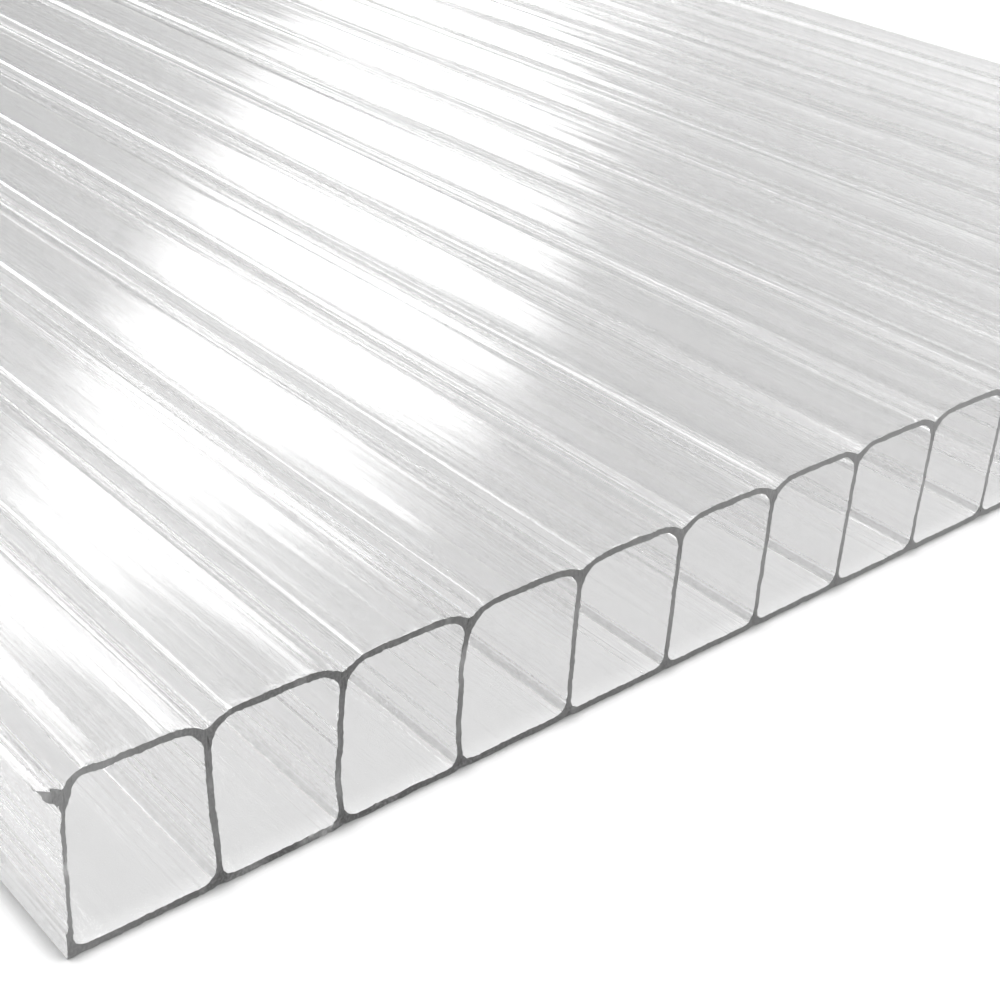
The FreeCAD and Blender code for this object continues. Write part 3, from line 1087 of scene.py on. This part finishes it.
@dataclass(frozen=True)
class ClearPolycarbonate:
    """Clear extruded plastic: glossy, with die lines along the flutes, most of them beside the ribs.

    Args:
        first_rib: X of the first rib's middle.
        pitch: from one rib to the next.
        tint: colour that light keeps at each surface it goes through.
        refraction: index of refraction.
        line_width: how wide the widest die lines are.
        line_length: over what distance they change.
        line_slope: how steep they are beside a rib.
        left_reach: left of a rib's middle, where the lines are full and where they are faint.
        right_reach: the same on its right, where the skin runs smoother.
        faint: share of their slope that is left between the ribs.
        wall_reach: from a rib's middle, where its smoother walls end and where the skins are rough.
        wall_share: share of their slope that the lines have on a rib's walls.
        gloss: lowest and highest roughness.
    """

    first_rib: float
    pitch: float
    tint: tuple[float, float, float] = (0.985, 0.985, 0.985)
    refraction: float = 1.585
    line_width: float = 1.3 * MM
    line_length: float = 700 * MM
    line_slope: float = 1.5
    left_reach: tuple[float, float] = (1.3 * MM, 2.8 * MM)
    right_reach: tuple[float, float] = (0.40 * MM, 0.75 * MM)
    faint: float = 0.15
    wall_reach: tuple[float, float] = (0.25 * MM, 0.60 * MM)
    wall_share: float = 0.4
    gloss: tuple[float, float] = (0.06, 0.12)

    def make(self) -> bpy.types.Material:
        """Builds the material.

        Returns:
            The material.
        """
        material = bpy.data.materials.new("clear_polycarbonate")
        graph = Graph(material)
        lines = graph.die_lines(self.line_width, self.line_length)
        rib = graph.from_rib(self.first_rib, self.pitch)
        strong, weak = self.line_slope, self.line_slope * self.faint
        left = graph.spread(rib, (-self.left_reach[1], -self.left_reach[0]), (weak, strong))
        right = graph.spread(rib, self.right_reach, (strong, weak))
        wall = graph.spread(graph.math("ABSOLUTE", rib), self.wall_reach, (self.wall_share, 1.0))
        steep = graph.math("MULTIPLY", graph.math("MINIMUM", left, right), wall)
        slope = graph.math("MULTIPLY", graph.math("SUBTRACT", lines, 0.5), steep)
        shader = graph.add("BsdfPrincipled", {"distribution": "GGX"}, {
            "Base Color": (*self.tint, 1.0),
            "Roughness": graph.spread(lines, (0.35, 0.65), self.gloss),
            "IOR": self.refraction,
            "Transmission Weight": 1.0,
            "Normal": graph.lean(slope),
        })
        graph.end(shader)
        return material


@dataclass(frozen=True)
class SawnEdge:
    """The sawn ends: dull, with a grey that is painted shade for the light lost in the skins, and paler where
    the saw left it rough.

    Args:
        dark: the painted shade's grey at the lower rim on the torn edge's side.
        paler_right: how much paler the painted shade is further right.
        span: X between which the one turns into the other.
        lift: how much paler the painted shade is above the lower rim.
        lift_span: heights between which that comes in.
        rib: how much paler the upright ribs are on top of that.
        rib_middle: height of the ribs' middle.
        rib_span: from there, where they are palest and where they are as the skins are.
        torn: how much paler the corner at the torn edge is.
        torn_span: X between which that fades out.
        pale: the grey of the paler stretches.
        tooth: height of the marks of the saw's teeth.
    """

    PALE: ClassVar[str] = "pale"

    dark: float = 0.085
    paler_right: float = 0.23
    span: tuple[float, float] = (-50 * MM, -3 * MM)
    lift: float = 0.055
    lift_span: tuple[float, float] = (0.5 * MM, 1.2 * MM)
    rib: float = 0.07
    rib_middle: float = 4.8 * MM
    rib_span: tuple[float, float] = (2.8 * MM, 4.2 * MM)
    torn: float = 0.16
    torn_span: tuple[float, float] = (-65.5 * MM, -58 * MM)
    pale: float = 0.46
    tooth: float = 0.03 * MM

    def make(self) -> bpy.types.Material:
        """Builds the material.

        Returns:
            The material.
        """
        material = bpy.data.materials.new("sawn_polycarbonate")
        graph = Graph(material)
        across, up = graph.along((1, 0, 0)), graph.along((0, 0, 1))
        from_middle = graph.math("ABSOLUTE", graph.math("SUBTRACT", up, self.rib_middle))
        # The base grey is painted shade for the light lost in the skins: darkest at the lower rim on the torn
        # edge's side, paler further right, above the lower rim, up the ribs' middles and at the torn corner.
        base = graph.spread(across, self.span, (self.dark, self.dark + self.paler_right))
        base = graph.math("ADD", base, graph.spread(up, self.lift_span, (0.0, self.lift)))
        base = graph.math("ADD", base, graph.spread(from_middle, self.rib_span, (self.rib, 0.0)))
        base = graph.math("ADD", base, graph.spread(across, self.torn_span, (self.torn, 0.0)))
        patches = graph.grain((0.7 * MM, 0.7 * MM, 1.1 * MM), 3.0, 2.0)
        mottle = graph.grain((0.14 * MM, 0.5 * MM, 0.17 * MM), 2.0, 4.0)
        own = graph.add("Attribute", {"attribute_name": self.PALE}).outputs["Fac"]
        share = graph.math("ADD", own, graph.spread(patches, (0.50, 0.78), (0.0, 0.6)))
        share = graph.math("ADD", share, graph.spread(mottle, (0.42, 0.78), (-0.05, 0.45)))
        share = graph.spread(share, (0.0, 3.0), (0.0, 3.0))
        gap = graph.math("SUBTRACT", self.pale, base)
        grey = graph.math("ADD", base, graph.math("MULTIPLY", gap, share))
        colour = graph.add("CombineColor", inputs={0: grey, 1: grey, 2: grey}).outputs[0]
        teeth = graph.grain((0.08 * MM, 0.5 * MM, 0.5 * MM), 2.0, 5.0)
        bump = graph.add("Bump", inputs={"Strength": 1.0, "Distance": self.tooth, "Height": teeth})
        shader = graph.add("BsdfPrincipled", inputs={
            "Base Color": colour,
            "Roughness": graph.spread(patches, (0.3, 0.7), (0.40, 0.65)),
            "IOR": 1.585,
            "Normal": bump.outputs[0],
        })
        graph.end(shader)
        return material


@dataclass(frozen=True)
class PaleFloor:
    """A plain pale floor that the camera sees white and that keeps the sheet's soft shadow, partly lit for
    real and partly a painted shadow in its glow.

    Args:
        shade: the floor's own colour, which takes the light and the shadow.
        lift: the glow the camera gets on top of that, in the dark corner under an edge and in the open; dimmed
            near an edge by ambient occlusion, it paints a contact shadow.
        corner: how open the floor is to the sky at those two places.
        reach: how far from an edge that painted contact shadow reaches.
        under: how bright the floor under the sheet is when it is seen through it; dimmer than the open floor,
            it is a painted shadow of the sheet.
        beside: how bright the open floor is seen through the sheet or mirrored in it.
        footprint: half the width and half the length of the sheet.
    """

    footprint: tuple[float, float]
    shade: float = 0.45
    lift: tuple[float, float] = (0.10, 0.72)
    corner: tuple[float, float] = (0.50, 0.93)
    reach: float = 1.4 * MM
    under: float = 0.76
    beside: float = 1.0

    def make(self) -> bpy.types.Material:
        """Builds the material.

        Returns:
            The material.
        """
        material = bpy.data.materials.new("pale_floor")
        graph = Graph(material)
        path = graph.add("LightPath").outputs
        # Ambient occlusion dims the glow the camera sees near the sheet's edges: a painted contact shadow.
        sky = graph.add("AmbientOcclusion", {"samples": 8}, {"Distance": self.reach}).outputs["AO"]
        lift = graph.math("MULTIPLY", path["Is Camera Ray"], graph.spread(sky, self.corner, self.lift))
        glow = graph.add("Emission", inputs={0: (1, 1, 1, 1), 1: lift})
        matt = graph.add("BsdfDiffuse", inputs={0: (self.shade, self.shade, self.shade, 1)})
        lit = graph.add("AddShader", inputs={0: glow.outputs[0], 1: matt.outputs[0]})
        # Inside the sheet's footprint, the floor seen through or mirrored in the sheet glows dimmer: a painted
        # shadow of the sheet.
        off_x = graph.math("SUBTRACT", graph.math("ABSOLUTE", graph.along((1, 0, 0))), self.footprint[0])
        off_y = graph.math("SUBTRACT", graph.math("ABSOLUTE", graph.along((0, 1, 0))), self.footprint[1])
        outside = graph.math("MAXIMUM", off_x, off_y)
        white = graph.spread(outside, (-1.5 * MM, 1.0 * MM), (self.under, self.beside))
        plain = graph.add("Emission", inputs={0: (1, 1, 1, 1), 1: white})
        bent = graph.math("MAXIMUM", path["Is Glossy Ray"], path["Is Transmission Ray"])
        graph.end(graph.add("MixShader", inputs={0: bent, 1: lit.outputs[0], 2: plain.outputs[0]}))
        return material


@dataclass(frozen=True)
class GlowPanel:
    """A bright panel that stands upright around the sheet and fades out towards its edges.

    Args:
        name: the panel's name.
        way: compass angle from +Y towards +X at which it stands.
        corners: its corners, as (across, up) on its own plane, in metres.
        strength: its radiance, where 1 is white.
        fade: how wide the soft edge is.
        distance: how far away it stands.
    """

    GLOW: ClassVar[str] = "glow"

    name: str
    way: float
    corners: tuple[tuple[float, float], ...]
    strength: float
    fade: float
    distance: float = 1.2

    def make_glow(self) -> bpy.types.Material:
        """Builds the material of its face.

        Returns:
            The material.
        """
        material = bpy.data.materials.new(self.name)
        graph = Graph(material)
        share = graph.add("Attribute", {"attribute_name": self.GLOW}).outputs["Fac"]
        strength = graph.math("MULTIPLY", share, self.strength)
        graph.end(graph.add("Emission", inputs={0: (1, 1, 1, 1), 1: strength}))
        material.cycles.emission_sampling = "NONE"
        return material

    def stand(self) -> None:
        """Stands the panel up."""
        ahead = Vector((math.sin(self.way), math.cos(self.way), 0.0))
        side = Vector((math.cos(self.way), -math.sin(self.way), 0.0))
        places = [ahead * self.distance + side * across + UP * up for across, up in self.corners]
        deselect_all()
        bpy.ops.mesh.primitive_circle_add(vertices=len(places), radius=0.5, fill_type="NGON")
        panel = bpy.context.active_object
        panel.name = self.name
        for vertex, place in zip(panel.data.vertices, places):
            vertex.co = place
        bpy.ops.object.mode_set(mode="EDIT")
        bpy.ops.mesh.select_all(action="SELECT")
        bpy.ops.mesh.inset(thickness=self.fade)
        bpy.ops.object.mode_set(mode="OBJECT")
        glow = panel.data.attributes.new(self.GLOW, "FLOAT", "POINT")
        for vertex in panel.data.vertices:
            rim = min((vertex.co - place).length for place in places) < WELD
            glow.data[vertex.index].value = 0.0 if rim else 1.0
        panel.data.materials.append(self.make_glow())


@dataclass(frozen=True)
class Room:
    """The light all round: a pale dome, darker at the floor line, brighter to one side, and seen as white.

    Args:
        low: brightness above the floor line.
        high: brightness high up.
        line: brightness at the floor line.
        side_way: compass angle from +Y towards +X of the brighter side.
        side: how much brighter it is there.
    """

    low: float = 0.81
    high: float = 0.85
    line: float = 0.45
    side_way: float = math.radians(80.0)
    side: float = 0.42

    def light(self) -> None:
        """Lights the room."""
        world = bpy.data.worlds.new("room")
        bpy.context.scene.world = world
        graph = Graph(world)
        up = graph.along((0, 0, 1), "Generated")
        dome = graph.spread(up, (0.10, 0.55), (self.low, self.high))
        dark = graph.spread(up, (0.07, 0.22), (self.line - self.low, 0.0))
        facing = graph.along((math.sin(self.side_way), math.cos(self.side_way), 0), "Generated")
        glow = graph.spread(facing, (0.76, 0.94), (0.0, self.side))
        total = graph.math("ADD", graph.math("ADD", dome, dark), glow)
        light = graph.add("Background", inputs={1: total}).outputs[0]
        white = graph.add("Background", inputs={0: (1, 1, 1, 1), 1: 1.0}).outputs[0]
        seen = graph.add("LightPath").outputs["Is Camera Ray"]
        graph.end(graph.add("MixShader", inputs={0: seen, 1: light, 2: white}), "OutputWorld")
        world.cycles.sampling_method = "NONE"


@dataclass
class Studio:
    """Pale floor, the bright panels whose mirror images the sheet shows, soft light and the camera.

    Args:
        sheet_high: highest corner of the sheet.
        eye: the camera's place.
        target: a point in the middle of its view.
        roll: its roll about its own line of sight, in radians.
        lens: focal length, in millimetres.
        sensor: width of the sensor, in millimetres.
        floor_gap: how far the floor lies below the sheet.
        key_power: power of the lamp overhead.
        panels: the bright panels.
    """

    sheet_high: Vector
    eye: Vector = field(default_factory=lambda: Vector((-91.5775, -202.93, 56.40)) * MM)
    target: Vector = field(default_factory=lambda: Vector((-36.3475, -142.77, 10.0)) * MM)
    roll: float = math.radians(3.917)
    lens: float = 62.22
    sensor: float = 36.0
    floor_gap: float = 0.05 * MM
    key_power: float = 16.0
    panels: tuple[GlowPanel, ...] = (
        GlowPanel("window_panel", math.radians(36.0), (
            (0.04, 0.24), (0.25, 0.24), (0.28, 0.42), (0.28, 0.60), (0.20, 0.76),
            (-0.08, 0.90), (-0.33, 1.05), (-0.36, 0.86), (-0.22, 0.66), (-0.10, 0.45),
        ), strength=3.2, fade=0.07),
        GlowPanel("strip_panel", math.radians(12.0), (
            (-0.045, 0.55), (0.045, 0.55), (0.045, 2.60), (-0.045, 2.60),
        ), strength=9.0, fade=0.02),
    )

    def lay_floor(self) -> None:
        """Lays the floor just under the sheet, a hair's breadth clear of its underside."""
        deselect_all()
        bpy.ops.mesh.primitive_plane_add(size=8.0, location=-UP * self.floor_gap)
        floor = bpy.context.active_object
        floor.name = "floor"
        floor.data.materials.append(PaleFloor((self.sheet_high.x, self.sheet_high.y)).make())

    def hang_lamp(self) -> None:
        """Hangs one large soft lamp overhead."""
        lamp = bpy.data.lights.new("overhead", "AREA")
        lamp.shape = "RECTANGLE"
        lamp.size = 2.0
        lamp.size_y = 2.0
        lamp.energy = self.key_power
        holder = bpy.data.objects.new("overhead", lamp)
        holder.location = (-0.35, -0.2, 1.5)
        holder.rotation_euler = (-holder.location).to_track_quat("-Z", "Y").to_euler()
        bpy.context.scene.collection.objects.link(holder)

    def set_camera(self) -> None:
        """Sets the camera at the angle of the view."""
        data = bpy.data.cameras.new("camera")
        data.lens = self.lens
        data.sensor_width = self.sensor
        data.clip_start = 0.005
        data.clip_end = 20.0
        camera = bpy.data.objects.new("camera", data)
        aim = (self.target - self.eye).to_track_quat("-Z", "Y")
        camera.location = self.eye
        camera.rotation_euler = (aim @ Quaternion((0, 0, 1), self.roll)).to_euler()
        bpy.context.scene.collection.objects.link(camera)
        bpy.context.scene.camera = camera

    def set_up(self) -> None:
        """Puts the whole studio in place."""
        self.lay_floor()
        for panel in self.panels:
            panel.stand()
        Room().light()
        self.hang_lamp()
        self.set_camera()
        scene = bpy.context.scene
        scene.view_settings.view_transform = "Standard"
        scene.cycles.use_light_tree = False
        scene.cycles.max_bounces = 64
        scene.cycles.transmission_bounces = 64
        scene.cycles.glossy_bounces = 64
        scene.cycles.diffuse_bounces = 1
        scene.cycles.adaptive_min_samples = 12
        scene.cycles.adaptive_threshold = 0.05
        scene.cycles.use_denoising = True


def main() -> None:
    """Builds the sheet and the studio, and reports each piece."""
    low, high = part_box(NODE)
    sheet = TwinWallSheet(DieSection(thickness=high.z - low.z), low, high)
    body = sheet.build()
    sheet.dress()
    SawnEnds(sheet).wear()
    sheet.hand_over()
    log.info("%s: %d faces", body.name, len(body.data.polygons))
    Studio(high).set_up()


if __name__ == "__main__":
    logging.basicConfig(level=logging.INFO)
    main()
